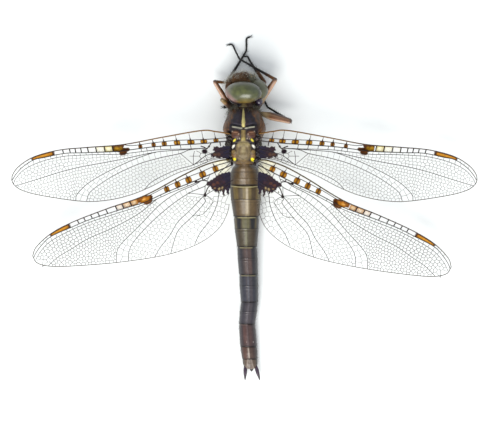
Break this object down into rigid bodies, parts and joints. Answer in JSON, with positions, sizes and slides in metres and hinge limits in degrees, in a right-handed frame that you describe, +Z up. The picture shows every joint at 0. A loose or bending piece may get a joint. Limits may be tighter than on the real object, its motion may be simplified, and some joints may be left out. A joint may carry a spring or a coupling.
{
  "type": "dragonfly",
  "caption": "Still life-size dragonfly lying on its belly, wings spread flat, amber-spotted leading edges, head rolled to one side, legs folded forward.",
  "frame": {"origin": "on the floor under the middle of the outline", "axes": "+Z up, +Y towards the head, +X to the animal's right"},
  "size_m": [0.0746, 0.0557, 0.0081],
  "materials": {
    "chitin_dark": "dark brown cuticle, satin",
    "chitin_olive": "olive-brown cuticle, satin",
    "face": "reddish-brown cuticle, satin",
    "eye": "olive green, glossy",
    "femur": "reddish tan cuticle",
    "leg_black": "black cuticle",
    "wing_membrane": "clear membrane with brown veins"
  },
  "bodies": {
    "root": {"abdomen_01": "chitin_olive", "abdomen_02": "chitin_olive", "abdomen_03": "chitin_olive", "abdomen_04": "chitin_olive", "abdomen_05": "chitin_dark", "abdomen_06": "chitin_dark", "abdomen_07": "chitin_dark", "abdomen_08": "chitin_dark", "abdomen_09": "chitin_dark", "abdomen_10": "chitin_dark", "antenna_left": "leg_black", "antenna_right": "leg_black", "cercus_left": "leg_black", "cercus_right": "leg_black", "clypeus": "face", "coxa_fore_left": "femur", "coxa_fore_right": "femur", "coxa_hind_left": "femur", "coxa_hind_right": "femur", "coxa_mid_left": "femur", "coxa_mid_right": "femur", "epiproct": "leg_black", "eye_left": "eye", "eye_lobe_left": "chitin_dark", "eye_lobe_right": "chitin_dark", "eye_right": "eye", "femur_fore_left": "femur", "femur_fore_right": "femur", "femur_hind_left": "femur", "femur_hind_right": "femur", "femur_mid_left": "femur", "femur_mid_right": "femur", "forewing_left": "wing_membrane", "forewing_right": "wing_membrane", "frons": "face", "head": "chitin_dark", "hindwing_left": "wing_membrane", "hindwing_right": "wing_membrane", "labrum": "face", "mesothorax": "chitin_dark", "metathorax": "chitin_olive", "prothorax": "chitin_olive", "tarsus_fore_left": "leg_black", "tarsus_fore_right": "leg_black", "tarsus_hind_left": "leg_black", "tarsus_hind_right": "leg_black", "tarsus_mid_left": "leg_black", "tarsus_mid_right": "leg_black", "tibia_fore_left": "leg_black", "tibia_fore_right": "leg_black", "tibia_hind_left": "leg_black", "tibia_hind_right": "leg_black", "tibia_mid_left": "leg_black", "tibia_mid_right": "leg_black"}
  },
  "joints": []
}
